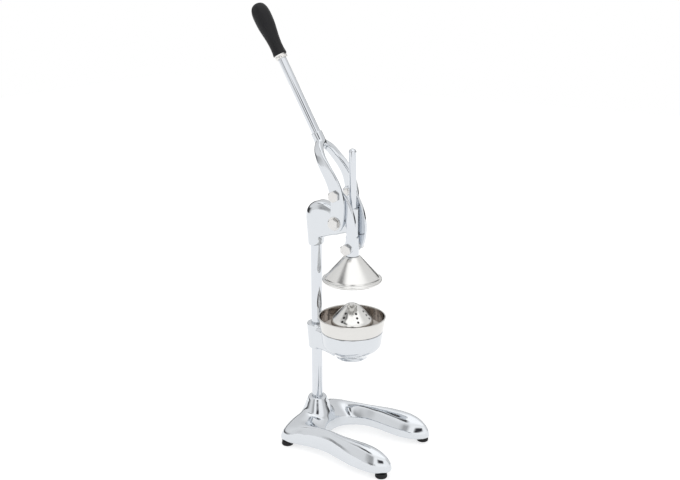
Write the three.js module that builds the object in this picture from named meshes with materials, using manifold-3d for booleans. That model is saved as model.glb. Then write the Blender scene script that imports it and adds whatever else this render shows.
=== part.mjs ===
// Hand-lever citrus press: U-shaped cast foot, steel post, bowl holder, head casting,
// wishbone lever with two curved links, and a vertical plunger that carries a press cone.
// Millimetres. +Z up, -Y towards the person who works the lever, X across the press.
import * as THREE from "three";
import { mergeVertices } from "three/addons/utils/BufferGeometryUtils.js";
import Module from "manifold-3d";

const wasm = await Module();
wasm.setup();

// ---- Driving dimensions -------------------------------------------------------------------
const GAP = 0.3; // clearance between neighbouring pieces
const FRAME_SHIFT_Y = 34.2; // from the post's axis to the centre of the press's bounding box

const POST_R = 9.5;
const POST_BOTTOM_Z = 30;
const POST_TOP_Z = 427;

const FOOT_R = 10.3;
const FOOT_HEIGHT = 8;
const REAR_FOOT = { x: 64.8, y: 21 };
const FRONT_FOOT = { x: 74.6, y: -175 };

const BOSS_TOP_Z = 74;
const BOSS_R = 17;

const PLUNGER_Y = -72; // axis of the bowl, the reamer, the cone and the rod
const RIM_Z = 240.6;
const RIM_R = 58.1;
const RING_TOP_Z = 215.5;
const HOLDER_BOTTOM_Z = 165.5;
const COLLAR_TOP_Z = 214.6;

const PIVOT = { y: -53.5, z: 407 }; // where the lever turns on the head
const CRANK = 46; // pivot to the lever's upper bolts
const CROSS_Z = 363; // the plunger's cross bolt, with the lever up
const ARM_INNER_X = 19.5;
const ARM_THICKNESS = 7.7;
const LINK_INNER_X = 13.2;
const LINK_THICKNESS = 6;
const LINK_WIDTH = 17.5;
const LINK_BULGE = 16.5;
const BOLT_R = 4;

const ROD_R = 6.3;
const ROD_TOP_Z = 530;
const GUIDE = { r: 10, bottom: 381.6, top: 430.3 };
const HUB = { r: 11.2, bottom: 348.3, top: 381.2 };

const LEVER_LEAN = THREE.MathUtils.degToRad(29.8); // backwards from vertical, with the lever up
const LEVER_FOOT = { y: -10.6, z: 534 }; // where the lever's axis leaves the fork's shoulders
const SOCKET = { r: 9.4, length: 18.4 };
const TUBE = { r: 7.2, from: 4, to: 176 };
const GRIP_FROM = 160;

const REAMER_LOBES = 7;
const REAMER_PHASE = THREE.MathUtils.degToRad(231);

// ---- Materials ----------------------------------------------------------------------------
const finish = (color, roughness, metalness) => () =>
  new THREE.MeshStandardMaterial({ color, roughness, metalness });
const chrome = finish(0xd4d8dc, 0.1, 1);
const stainless = finish(0xc9c6c0, 0.3, 1);
const fastener = finish(0xbfc0c0, 0.28, 1);
const blackGrip = finish(0x17181a, 0.5, 0);
const blackRubber = finish(0x101011, 0.8, 0);

// ---- Geometry helpers ---------------------------------------------------------------------
function solidOf(geometry) {
  const bare = new THREE.BufferGeometry();
  bare.setAttribute("position", geometry.getAttribute("position"));
  bare.setIndex(geometry.index);
  const merged = mergeVertices(bare, 1e-4);
  return new wasm.Manifold(
    new wasm.Mesh({
      numProp: 3,
      vertProperties: merged.getAttribute("position").array,
      triVerts: new Uint32Array(merged.index.array),
    }),
  );
}

function geometryOf(solid) {
  const mesh = solid.getMesh();
  const geometry = new THREE.BufferGeometry();
  geometry.setAttribute("position", new THREE.BufferAttribute(mesh.vertProperties, 3));
  geometry.setIndex(new THREE.BufferAttribute(mesh.triVerts, 1));
  geometry.computeVertexNormals();
  return geometry;
}

const union = (...geometries) => geometryOf(geometries.map(solidOf).reduce((a, b) => a.add(b)));

const cut = (body, ...tools) =>
  geometryOf(tools.map(solidOf).reduce((a, b) => a.subtract(b), solidOf(body)));

// Closed skin over the points. All its faces run the same way round; they are turned outwards.
function meshFrom(points, faces) {
  const volume = faces.reduce(
    (sum, [a, b, c]) => sum + points[a].dot(new THREE.Vector3().crossVectors(points[b], points[c])),
    0,
  );
  const outward = volume > 0 ? faces : faces.map(([a, b, c]) => [c, b, a]);
  const geometry = new THREE.BufferGeometry();
  geometry.setAttribute(
    "position",
    new THREE.Float32BufferAttribute(points.flatMap((p) => [p.x, p.y, p.z]), 3),
  );
  geometry.setIndex(outward.flat());
  geometry.computeVertexNormals();
  return geometry;
}

// Skin through a row of closed rings, with a flat cap on each end.
function loft(rings) {
  const n = rings[0].length;
  const points = rings.flat();
  const faces = [];
  for (let i = 0; i + 1 < rings.length; i += 1) {
    for (let j = 0; j < n; j += 1) {
      const k = (j + 1) % n;
      faces.push([i * n + j, i * n + k, (i + 1) * n + k]);
      faces.push([i * n + j, (i + 1) * n + k, (i + 1) * n + j]);
    }
  }
  for (const [start, turned] of [[0, true], [(rings.length - 1) * n, false]]) {
    const ring = points.slice(start, start + n);
    const centre = ring.reduce((sum, p) => sum.add(p), new THREE.Vector3()).divideScalar(n);
    points.push(centre);
    for (let j = 0; j < n; j += 1) {
      const a = start + j;
      const b = start + ((j + 1) % n);
      faces.push(turned ? [b, a, points.length - 1] : [a, b, points.length - 1]);
    }
  }
  return meshFrom(points, faces);
}

// Body of revolution about Z from [radius, z] points that start and end on the axis or close on
// themselves. A third number is how far the surface dips in the valleys between the lobes.
function revolve(profile, segments, dip = () => 0) {
  const points = [];
  const starts = profile.map(([radius, z, depth = 0]) => {
    const start = points.length;
    const count = radius === 0 ? 1 : segments;
    for (let j = 0; j < count; j += 1) {
      const angle = (2 * Math.PI * j) / segments;
      const r = radius - depth * dip(angle);
      points.push(new THREE.Vector3(r * Math.cos(angle), r * Math.sin(angle), z));
    }
    return start;
  });
  const closed = profile[0][0] !== 0;
  const faces = [];
  const rows = closed ? profile.length : profile.length - 1;
  for (let i = 0; i < rows; i += 1) {
    const next = (i + 1) % profile.length;
    const at = (row, j) => starts[row] + (profile[row][0] === 0 ? 0 : j % segments);
    for (let j = 0; j < segments; j += 1) {
      if (profile[i][0] !== 0) faces.push([at(i, j), at(i, j + 1), at(next, j)]);
      if (profile[next][0] !== 0) faces.push([at(i, j + 1), at(next, j + 1), at(next, j)]);
    }
  }
  return meshFrom(points, faces);
}

const cylinder = (r, bottom, top, segments = 24) =>
  revolve([[0, bottom], [r, bottom], [r, top], [0, top]], segments);

const ring = (inner, outer, bottom, top, segments = 16) =>
  revolve([[inner, bottom], [outer, bottom], [outer, top], [inner, top]], segments);

// Points of an arc in a profile, from one angle to another in degrees.
function arc(r, z, radius, from, to, steps) {
  return Array.from({ length: steps + 1 }, (_, i) => {
    const angle = THREE.MathUtils.degToRad(from + ((to - from) * i) / steps);
    return [r + radius * Math.cos(angle), z + radius * Math.sin(angle)];
  });
}

// Closed ring of points in the plane of two unit directions: a superellipse.
function superellipse(centre, across, along, halfAcross, halfAlong, power, count) {
  return Array.from({ length: count }, (_, j) => {
    const angle = (2 * Math.PI * j) / count;
    const bend = (value) => Math.sign(value) * Math.abs(value) ** (2 / power);
    return centre
      .clone()
      .addScaledVector(across, halfAcross * bend(Math.cos(angle)))
      .addScaledVector(along, halfAlong * bend(Math.sin(angle)));
  });
}

const alongX = (geometry) => geometry.rotateY(Math.PI / 2); // +Z turns to +X

// Lays a piece made along +Z on the lever's axis, measured from the fork's shoulders.
const onLever = (geometry) =>
  geometry.rotateX(-LEVER_LEAN).translate(0, LEVER_FOOT.y, LEVER_FOOT.z);

// Hex head or nut along Z with chamfered corners on its outer end.
function hexagon(acrossFlats, bottom, top) {
  const corner = acrossFlats / Math.sqrt(3);
  const prism = cylinder(corner, bottom, top, 6);
  const dome = revolve(
    [[0, bottom], [corner, bottom], [corner, top - 1], [corner - 1.4, top], [0, top]],
    24,
  );
  return geometryOf(solidOf(prism).intersect(solidOf(dome)));
}

// Hex bolt whose head points along -X at the press's left side or +X at its right.
function hexBolt({ side, headInner, headOuter, shankEnd, flats = 17, y, z }) {
  const body = union(
    hexagon(flats, headInner, headOuter),
    cylinder(BOLT_R, shankEnd, headInner + 1, 16),
  );
  return alongX(body).rotateZ(side < 0 ? Math.PI : 0).translate(0, y, z);
}

function hexNut({ side, inner, outer, flats = 17, y, z }) {
  const body = cut(hexagon(flats, inner, outer), cylinder(BOLT_R + GAP, inner - 1, outer + 1, 16));
  return alongX(body).rotateZ(side < 0 ? Math.PI : 0).translate(0, y, z);
}

// ---- Foot casting -------------------------------------------------------------------------
// Half of the foot's plan, from the back centre to the front tip: inner edge, outer edge,
// crest height, the crest's place across the leg, the underside's height and the share of the
// height that stands as a wall on the inner side.
const FOOT_STATIONS = [
  { inner: [0, -31], outer: [0, 38], crest: 48.5, place: 0.55, under: 10, wall: 0.66 },
  { inner: [12, -31], outer: [20, 39], crest: 48.5, place: 0.55, under: 9.8, wall: 0.66 },
  { inner: [25, -34], outer: [46, 40], crest: 46.5, place: 0.54, under: 8.8, wall: 0.62 },
  { inner: [33, -38.5], outer: [68, 34], crest: 43.5, place: 0.52, under: 8.4, wall: 0.56 },
  { inner: [39, -45], outer: [75, 16], crest: 43.5, place: 0.52, under: 8.4, wall: 0.5 },
  { inner: [43, -53], outer: [72.5, -10], crest: 45, place: 0.53, under: 8.8, wall: 0.46 },
  { inner: [46, -64], outer: [71, -38], crest: 46.8, place: 0.54, under: 9.8, wall: 0.43 },
  { inner: [47.5, -77], outer: [73.5, -64], crest: 47.3, place: 0.55, under: 10.8, wall: 0.42 },
  { inner: [48, -92], outer: [80, -88], crest: 47.3, place: 0.56, under: 10.8, wall: 0.41 },
  { inner: [47, -110], outer: [86, -111], crest: 47.8, place: 0.56, under: 10, wall: 0.4 },
  { inner: [46, -129], outer: [89, -132], crest: 47.8, place: 0.56, under: 9, wall: 0.4 },
  { inner: [46.5, -148], outer: [90, -151], crest: 46.5, place: 0.55, under: 8.6, wall: 0.4 },
  { inner: [50, -166], outer: [87.5, -168], crest: 42, place: 0.53, under: 8.6, wall: 0.38 },
  { inner: [56, -179], outer: [81, -181], crest: 35, place: 0.51, under: 9, wall: 0.36 },
  { inner: [62, -187.5], outer: [74, -188.8], crest: 26, place: 0.5, under: 10.5, wall: 0.36 },
  { inner: [66, -190.6], outer: [69.5, -190.9], crest: 18, place: 0.5, under: 12.5, wall: 0.36 },
];
const INNER_ROLL = 2; // how soon the inner side's roll flattens towards the crest
const OUTER_POWER = 1.85; // a little under an ellipse, so that the outer side keeps a draft

// Smooth curve through one value of every station.
function stationCurve(pick) {
  const curve = new THREE.CatmullRomCurve3(
    FOOT_STATIONS.map((station) => new THREE.Vector3(...pick(station))),
    false,
    "centripetal",
  );
  return (t) => curve.getPoint(t);
}

function legSections(steps) {
  const inner = stationCurve((s) => [...s.inner, s.under]);
  const outer = stationCurve((s) => [...s.outer, s.under]);
  const shape = stationCurve((s) => [s.crest, s.place * 100, s.wall * 100]);
  const half = 7;
  return Array.from({ length: steps + 1 }, (_, i) => {
    const t = i / steps;
    const a = inner(t);
    const b = outer(t);
    const { x: crest, y: placePercent, z: wallPercent } = shape(t);
    const place = placePercent / 100;
    const wall = wallPercent / 100;
    const section = [];
    const addPoint = (across, height) => {
      const point = a.clone().lerp(b, across);
      point.z += (crest - point.z) * height;
      section.push(point);
    };
    addPoint(0, 0);
    for (let j = 0; j < half; j += 1) {
      const along = j / half;
      addPoint(place * along, wall + (1 - wall) * (1 - (1 - along) ** INNER_ROLL));
    }
    for (let j = 0; j <= half; j += 1) {
      const angle = (Math.PI * j) / (2 * half);
      const across = place + (1 - place) * Math.sin(angle) ** (2 / OUTER_POWER);
      addPoint(across, Math.max(0, Math.cos(angle)) ** (2 / OUTER_POWER));
    }
    return section;
  });
}

function footCasting() {
  const rightHalf = legSections(19);
  const mirror = (section) => section.map((p) => new THREE.Vector3(-p.x, p.y, p.z));
  const leftHalf = rightHalf.slice(1).map(mirror).reverse();
  const shoe = loft([...leftHalf, ...rightHalf]);
  const boss = revolve(
    [
      [0, 12],
      [27, 12],
      [29, 42],
      [26, 49],
      [22.5, 57],
      [19, 66],
      [BOSS_R, 71.5],
      [BOSS_R - 2, BOSS_TOP_Z],
      [0, BOSS_TOP_Z],
    ],
    32,
  );
  return cut(
    union(shoe, boss),
    cylinder(POST_R + GAP, POST_BOTTOM_Z - GAP, BOSS_TOP_Z + 1, 32),
    cylinder(BOLT_R + GAP, 10, POST_BOTTOM_Z + 1, 16),
    cylinder(15, 0, 21, 24),
  );
}

function rubberFoot({ x, y }, side) {
  const profile = [
    [0, 0],
    [FOOT_R - 1, 0],
    [FOOT_R, 1],
    [FOOT_R - 0.6, FOOT_HEIGHT],
    [0, FOOT_HEIGHT],
  ];
  return revolve(profile, 24).translate(side * x, y, 0);
}

// ---- Post and its bolt --------------------------------------------------------------------
const post = () =>
  cut(
    revolve(
      [
        [0, POST_BOTTOM_Z],
        [POST_R, POST_BOTTOM_Z],
        [POST_R, POST_TOP_Z - 1],
        [POST_R - 1, POST_TOP_Z],
        [0, POST_TOP_Z],
      ],
      32,
    ),
    cylinder(BOLT_R + GAP, POST_BOTTOM_Z - 1, POST_BOTTOM_Z + 20, 16),
  );

const postWasher = () => ring(BOLT_R + GAP, 12, 18.9, 20.7);

const postBolt = () =>
  union(hexagon(13, -18.6, -12).rotateX(Math.PI), cylinder(BOLT_R, 18, POST_BOTTOM_Z + 18, 16));

// ---- Bowl holder --------------------------------------------------------------------------
function bowlHolder() {
  const dish = revolve(
    [
      [0, HOLDER_BOTTOM_Z],
      [26, HOLDER_BOTTOM_Z],
      [28.6, 167.5],
      [31.5, 173],
      [38, 178.5],
      [46.5, 184],
      [50.6, 190],
      [51.6, 198],
      [53.4, RING_TOP_Z - 1],
      [52.6, RING_TOP_Z],
      [0, RING_TOP_Z],
    ],
    40,
  ).translate(0, PLUNGER_Y, 0);
  const collar = revolve(
    [
      [0, 168.4],
      [13.4, 168.4],
      [14.4, 169.6],
      [17.5, 212.6],
      [16.4, COLLAR_TOP_Z],
      [0, COLLAR_TOP_Z],
    ],
    32,
  );
  const across = new THREE.Vector3(1, 0, 0);
  const up = new THREE.Vector3(0, 0, 1);
  const neckStations = [
    [-4, 11.5, 171, 208],
    [-18, 14, 169, 210],
    [-34, 20, 167, 205],
    [-48, 24, 166.5, 190],
  ];
  const neck = loft(
    neckStations
      .map(([y, half, low, high]) =>
        superellipse(
          new THREE.Vector3(0, y, (low + high) / 2),
          across,
          up,
          half,
          (high - low) / 2,
          4,
          16,
        ),
      ),
  );
  const seat = revolve(
    [
      [0, 150],
      [20, 150],
      [20, 175],
      [36, 181],
      [44, 185.5],
      [47.6, 191],
      [48.8, 200],
      [49.4, RING_TOP_Z + 1],
      [0, RING_TOP_Z + 1],
    ],
    40,
  ).translate(0, PLUNGER_Y, 0);
  return cut(
    union(dish, collar, neck),
    seat,
    cylinder(POST_R + GAP, 160, 230, 32),
    alongX(cylinder(3 + GAP, 0, 30, 12)).translate(0, 0, 196),
  );
}

// Button-headed clamping screw through the right of a collar, with its tip against the post.
const collarScrew = (z, collarR) =>
  union(
    cylinder(3, POST_R + GAP, collarR + 1, 12),
    revolve(
      [
        [0, collarR + 0.4],
        [4.8, collarR + 0.4],
        [4.8, collarR + 1.8],
        [3.4, collarR + 3],
        [0, collarR + 3],
      ],
      16,
    ),
  )
    .rotateY(Math.PI / 2)
    .translate(0, 0, z);

// ---- Bowl and reamer ----------------------------------------------------------------------
function juiceBowl() {
  const profile = [
    [10, 168],
    [10, 181],
    [43.5, 190],
    [46.5, 195],
    [48, RING_TOP_Z + 0.5],
    [53.2, RING_TOP_Z + 0.5],
    [54.1, 217.5],
    [RIM_R - 0.6, 236.5],
    ...arc(RIM_R - 1.2, RIM_Z - 1.1, 1.1, -20, 200, 3),
    [RIM_R - 2.2, 236.5],
    [52.6, 219],
    [51.9, 217.6],
    [46.4, 217.6],
    [45, 195.6],
    [42.6, 191.6],
    [8.4, 182.4],
    [8.4, 168],
  ];
  return revolve(profile, 44).translate(0, PLUNGER_Y, 0);
}

// Valley shape between the reamer's lobes: 1 on a valley's line, 0 on a lobe's crest.
const valley = (angle) => ((1 + Math.cos(REAMER_LOBES * (angle - REAMER_PHASE))) / 2) ** 1.5;

function reamer() {
  const outside = [
    [51.6, 218.1],
    [51.6, 219.6],
    [36.8, 219.6],
    [36.4, 228],
    [35.9, 233, 0.3],
    [33.8, 236.8, 0.5],
    [27.6, 243.4, 0.6],
    [20.8, 250.8, 0.5],
    [14.2, 257.6, 0.3],
    [10.8, 260.6],
    [8, 261.7],
    [0, 262.3],
  ];
  const inside = [
    [0, 260.9],
    [9, 259.4],
    [19.4, 249.6, 0.5],
    [32.2, 236, 0.5],
    [34.6, 229],
    [35.2, 218.1],
  ];
  const shell = revolve([...outside, ...inside], 6 * REAMER_LOBES, valley);
  const drill = (r, length) => cylinder(r, -length / 2, length / 2, 6);
  const tools = [];
  for (let lobe = 0; lobe < REAMER_LOBES; lobe += 1) {
    const angle = REAMER_PHASE + (2 * Math.PI * lobe) / REAMER_LOBES;
    for (const [r, z] of [[20.4, 250.4], [25.8, 244.6], [31.2, 238.8]]) {
      tools.push(drill(1.5, 9).rotateY(Math.PI / 4).translate(r, 0, z).rotateZ(angle));
    }
    tools.push(drill(2.2, 6).translate(42, 0, 219).rotateZ(angle));
  }
  for (let hole = 0; hole < 5; hole += 1) {
    tools.push(drill(0.9, 6).translate(6.4, 0, 261).rotateZ(REAMER_PHASE + (2 * Math.PI * hole) / 5));
  }
  return cut(shell, ...tools).translate(0, PLUNGER_Y, 0);
}

// ---- Head casting -------------------------------------------------------------------------
function headCasting() {
  const collar = revolve(
    [
      [0, 356.7],
      [12.6, 356.7],
      [13.6, 358.2],
      [15.2, 380],
      [17.4, 412],
      [15.6, 420.5],
      [10, 428],
      [5, 432],
      [0, 434],
    ],
    32,
  );
  const across = new THREE.Vector3(1, 0, 0);
  const up = new THREE.Vector3(0, 0, 1);
  // y, half width, lower edge, upper edge
  const cheeks = [
    [9, 12.5, 384, 424],
    [0, 14.5, 373, 432.5],
    [-10, 14.5, 371.5, 436.5],
    [-20, 13.4, 373.5, 436],
    [-32, 12.2, 377.5, 431.5],
    [-44, 11.5, 381, 424.5],
    [-56, 10.5, 385, 420],
    [-66, 8, 388, 417],
    [-72, 6, 389, 416],
  ];
  const tongue = loft(
    cheeks.map(([y, half, low, high]) =>
      superellipse(new THREE.Vector3(0, y, (low + high) / 2), across, up, half, (high - low) / 2, 5, 20),
    ),
  );
  const pivotBoss = alongX(cylinder(10.5, -ARM_INNER_X + 0.4, ARM_INNER_X - 0.4, 28)).translate(
    0,
    PIVOT.y,
    PIVOT.z,
  );
  const guide = revolve(
    [
      [0, GUIDE.bottom],
      [GUIDE.r - 0.8, GUIDE.bottom],
      [GUIDE.r, GUIDE.bottom + 0.8],
      [GUIDE.r, GUIDE.top - 0.8],
      [GUIDE.r - 0.8, GUIDE.top],
      [0, GUIDE.top],
    ],
    32,
  ).translate(0, PLUNGER_Y, 0);
  return cut(
    union(collar, tongue, pivotBoss, guide),
    cylinder(POST_R + GAP, 350, POST_TOP_Z + GAP, 32),
    cylinder(ROD_R + GAP, 370, 440, 32).translate(0, PLUNGER_Y, 0),
    alongX(cylinder(BOLT_R + GAP, -30, 30, 16)).translate(0, PIVOT.y, PIVOT.z),
    alongX(cylinder(3 + GAP, 0, 30, 12)).translate(0, 0, 392),
  );
}

// ---- Lever --------------------------------------------------------------------------------
// One arm of the fork: path points [x, y, z], width along the swing, thickness across it, and
// how much narrower its inner face is than its outer face.
const ARM_STATIONS = [
  { at: [0, -10.6, 532.5], width: 13, thickness: 14, slant: 0 },
  { at: [8, -12.6, 530.5], width: 14.5, thickness: 13, slant: 0.1 },
  { at: [16, -17.8, 523.2], width: 17.5, thickness: 12, slant: 0.25 },
  { at: [21.4, -26.2, 511], width: 20, thickness: 11, slant: 0.35 },
  { at: [24, -36.4, 497.4], width: 22.5, thickness: 10, slant: 0.4 },
  { at: [24.6, -46, 483], width: 24.5, thickness: 9, slant: 0.35 },
  { at: [24, -53, 467], width: 25.5, thickness: 8.2, slant: 0.2 },
  { at: [23.35, -56.8, 450], width: 25.8, thickness: 7.7, slant: 0 },
  { at: [23.35, -58.2, 434], width: 26, thickness: 7.7, slant: 0 },
  { at: [23.35, -57.4, 419], width: 26, thickness: 7.7, slant: 0 },
  { at: [23.35, -55.8, 406], width: 25, thickness: 7.7, slant: 0 },
  { at: [23.35, -55, 399], width: 21.5, thickness: 7.7, slant: 0 },
  { at: [23.35, -54.4, 395.6], width: 13.5, thickness: 7.7, slant: 0 },
  { at: [23.35, -54.2, 394.4], width: 7, thickness: 7.7, slant: 0 },
];

function forkArm(side) {
  const path = new THREE.CatmullRomCurve3(
    ARM_STATIONS.map(({ at: [x, y, z] }) => new THREE.Vector3(side * x, y, z)),
    false,
    "centripetal",
  );
  const size = new THREE.CatmullRomCurve3(
    ARM_STATIONS.map(({ width, thickness, slant }) => new THREE.Vector3(width, thickness, slant)),
    false,
    "centripetal",
  );
  const steps = 22;
  const rings = Array.from({ length: steps + 1 }, (_, i) => {
    const t = i / steps;
    const tangent = path.getTangent(t);
    tangent.x *= 0.5;
    tangent.normalize();
    const across = new THREE.Vector3(1, 0, 0).addScaledVector(tangent, -tangent.x).normalize();
    const wide = new THREE.Vector3().crossVectors(tangent, across);
    const { x: width, y: thickness, z: slant } = size.getPoint(t);
    const centre = path.getPoint(t);
    return superellipse(centre, across, wide, thickness / 2, width / 2, 4.5, 16).map((p) => {
      const offset = p.clone().sub(centre);
      const inwards = 0.5 - (side * offset.dot(across)) / thickness;
      return p.addScaledVector(wide, -slant * inwards * offset.dot(wide));
    });
  });
  return loft(rings);
}

function leverFork() {
  const socket = onLever(
    revolve(
      [
        [0, -9],
        [7, -7],
        [9.2, -1],
        [SOCKET.r, 3],
        [SOCKET.r, SOCKET.length - 1],
        [SOCKET.r - 1, SOCKET.length],
        [0, SOCKET.length],
      ],
      24,
    ),
  );
  // Flat faces of the arms: between them up to where they curve in, and outside them round both bolts.
  const slab = (inner, outer, bottom, top) =>
    new THREE.BoxGeometry(outer - inner, 120, top - bottom).translate(
      (inner + outer) / 2,
      -60,
      (bottom + top) / 2,
    );
  const outerFace = ARM_INNER_X + ARM_THICKNESS;
  const between = slab(-ARM_INNER_X, ARM_INNER_X, 369.5, 474.5);
  const outside = [
    slab(outerFace, outerFace + 20, 380, 466),
    slab(-outerFace - 20, -outerFace, 380, 466),
  ];
  return cut(
    union(forkArm(-1), forkArm(1), socket),
    between,
    ...outside,
    onLever(cylinder(TUBE.r + GAP, TUBE.from - GAP, SOCKET.length + 1, 28)),
    alongX(cylinder(BOLT_R + GAP, -40, 40, 16)).translate(0, PIVOT.y, PIVOT.z),
    alongX(cylinder(BOLT_R + GAP, -40, 40, 16)).translate(0, PIVOT.y, PIVOT.z + CRANK),
  );
}

const leverTube = () =>
  onLever(
    revolve(
      [
        [0, TUBE.from],
        [TUBE.r, TUBE.from],
        [TUBE.r, TUBE.to],
        [0, TUBE.to],
      ],
      24,
    ),
  );

const gripFerrule = () =>
  onLever(
    revolve(
      [
        [TUBE.r + GAP, 153],
        [9.4, 153],
        [10.2, 154],
        [10.2, 156.8],
        [9.6, 157.4],
        [11, GRIP_FROM - GAP],
        [TUBE.r + GAP, GRIP_FROM - GAP],
      ],
      24,
    ),
  );

const grip = () =>
  onLever(
    revolve(
      [
        [TUBE.r + GAP, GRIP_FROM],
        [11.2, GRIP_FROM],
        [11.8, GRIP_FROM + 1],
        [10.8, 169],
        [10.7, 178],
        [11.6, 190],
        [13.3, 202],
        [14.8, 214],
        [15.4, 226],
        [15.1, 236],
        [13.6, 243.5],
        [10.4, 249.5],
        [5.6, 252.7],
        [0, 253.6],
        [0, TUBE.to + 0.5],
        [TUBE.r + GAP, TUBE.to + 0.5],
      ],
      24,
    ),
  );

const forkBolt = (side) =>
  hexBolt({
    side,
    headInner: ARM_INNER_X + ARM_THICKNESS + GAP,
    headOuter: 32.4,
    shankEnd: ARM_INNER_X + GAP,
    y: PIVOT.y,
    z: PIVOT.z + CRANK,
  });

// ---- Pivot hardware -----------------------------------------------------------------------
const pivotWasher = (side) =>
  alongX(ring(BOLT_R + GAP, 11.4, 27.5, 28.9, 24))
    .rotateZ(side < 0 ? Math.PI : 0)
    .translate(0, PIVOT.y, PIVOT.z);

const pivotBolt = () =>
  hexBolt({ side: -1, headInner: 29.2, headOuter: 34, shankEnd: -33.4, y: PIVOT.y, z: PIVOT.z });

const pivotNut = () => hexNut({ side: 1, inner: 29.2, outer: 34, y: PIVOT.y, z: PIVOT.z });

// ---- Plunger ------------------------------------------------------------------------------
const plungerRod = () =>
  revolve(
    [
      [0, 372],
      [ROD_R, 372],
      [ROD_R, ROD_TOP_Z - 5.5],
      ...arc(ROD_R - 5.5, ROD_TOP_Z - 5.5, 5.5, 25, 65, 2),
      [0, ROD_TOP_Z],
    ],
    32,
  ).translate(0, PLUNGER_Y, 0);

function plungerHub() {
  const body = revolve(
    [
      [0, HUB.bottom],
      [HUB.r - 0.6, HUB.bottom],
      [HUB.r, HUB.bottom + 0.6],
      [HUB.r, HUB.top - 1.2],
      [HUB.r - 1.2, HUB.top],
      [0, HUB.top],
    ],
    32,
  );
  return cut(
    body,
    cylinder(ROD_R + GAP, 372 - GAP, HUB.top + 1, 32),
    alongX(cylinder(BOLT_R + GAP, -20, 20, 16)).translate(0, 0, CROSS_Z),
    cylinder(2.5 + GAP, HUB.bottom - 1, HUB.bottom + 9.5, 12),
  ).translate(0, PLUNGER_Y, 0);
}

function pressCone() {
  const profile = [
    [2.8, 348],
    [2.8, 346.4],
    [11.8, 346.4],
    [13, 345.6],
    [43.2, 313],
    [44.4, 309.5],
    ...arc(48, 306.5, 3, 190, 440, 6),
    [46.2, 311],
    [14.4, 347],
    [12.4, 348],
  ];
  return revolve(profile, 40).translate(0, PLUNGER_Y, 0);
}

const coneWasher = () => ring(2.8, 8, 344.6, 346.1).translate(0, PLUNGER_Y, 0);

const coneScrew = () =>
  union(cylinder(2.5, 343, HUB.bottom + 9, 12), hexagon(8, -344.3, -340.8).rotateX(Math.PI))
    .translate(0, PLUNGER_Y, 0);

const hubWasher = (side) =>
  alongX(ring(BOLT_R + GAP, 7.5, HUB.r + GAP, LINK_INNER_X - GAP))
    .rotateZ(side < 0 ? Math.PI : 0)
    .translate(0, PLUNGER_Y, CROSS_Z);

const crossBolt = () =>
  hexBolt({ side: -1, headInner: 19.5, headOuter: 24.6, shankEnd: -24, y: PLUNGER_Y, z: CROSS_Z });

const crossNut = () => hexNut({ side: 1, inner: 19.5, outer: 24.6, y: PLUNGER_Y, z: CROSS_Z });

// ---- Links --------------------------------------------------------------------------------
// Curved bar from the cross bolt up to the lever's upper bolt, bowed forwards round the pivot.
function link(side) {
  const foot = new THREE.Vector3(0, PLUNGER_Y, CROSS_Z);
  const top = new THREE.Vector3(0, PIVOT.y, PIVOT.z + CRANK);
  const along = top.clone().sub(foot).normalize();
  const forwards = new THREE.Vector3(0, -along.z, along.y);
  const steps = 20;
  const centre = (t) =>
    foot.clone().lerp(top, t).addScaledVector(forwards, LINK_BULGE * Math.sin(Math.PI * t) ** 0.6);
  const edge = (offset) =>
    Array.from({ length: steps + 1 }, (_, i) => {
      const t = 0.012 + (0.976 * i) / steps;
      const tangent = centre(t + 0.01).sub(centre(t - 0.01)).normalize();
      const normal = new THREE.Vector3(0, -tangent.z, tangent.y);
      return centre(t).addScaledVector(normal, offset * (LINK_WIDTH / 2));
    });
  const outline = [...edge(1), ...edge(-1).reverse()];
  const shape = new THREE.Shape(outline.map((p) => new THREE.Vector2(p.y, p.z)));
  const bar = new THREE.ExtrudeGeometry(shape, { depth: LINK_THICKNESS, bevelEnabled: false });
  const eye = (y, z) => cylinder(9.2, 0, LINK_THICKNESS, 24).translate(y, z, 0);
  const hole = (y, z) => cylinder(BOLT_R + GAP, -1, LINK_THICKNESS + 1, 16).translate(y, z, 0);
  const flat = cut(
    union(bar, eye(foot.y, foot.z), eye(top.y, top.z)),
    hole(foot.y, foot.z),
    hole(top.y, top.z),
  );
  // The outline's y and z axes, drawn in the plane of the page, turn to the press's Y and Z.
  const turn = new THREE.Matrix4().makeBasis(
    new THREE.Vector3(0, 1, 0),
    new THREE.Vector3(0, 0, 1),
    new THREE.Vector3(1, 0, 0),
  );
  const inner = side < 0 ? -LINK_INNER_X - LINK_THICKNESS : LINK_INNER_X;
  return flat.applyMatrix4(turn).translate(inner, 0, 0);
}

// Pin in a link's upper eye, with a low round head on the side that faces the rod.
const linkPin = (side) =>
  alongX(
    union(
      cylinder(BOLT_R, 12, LINK_INNER_X + LINK_THICKNESS, 16),
      revolve([[0, 10.6], [5.4, 10.6], [6.4, 11.4], [6.4, 12.9], [0, 12.9]], 20),
    ),
  )
    .rotateZ(side < 0 ? Math.PI : 0)
    .translate(0, PIVOT.y, PIVOT.z + CRANK);

// ---- Assembly -----------------------------------------------------------------------------
const press = new THREE.Group();
press.position.y = FRAME_SHIFT_Y;

function add(name, geometry, material) {
  const mesh = new THREE.Mesh(geometry, material());
  mesh.name = name;
  press.add(mesh);
}

const SIDES = [["left", -1], ["right", 1]];

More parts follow.
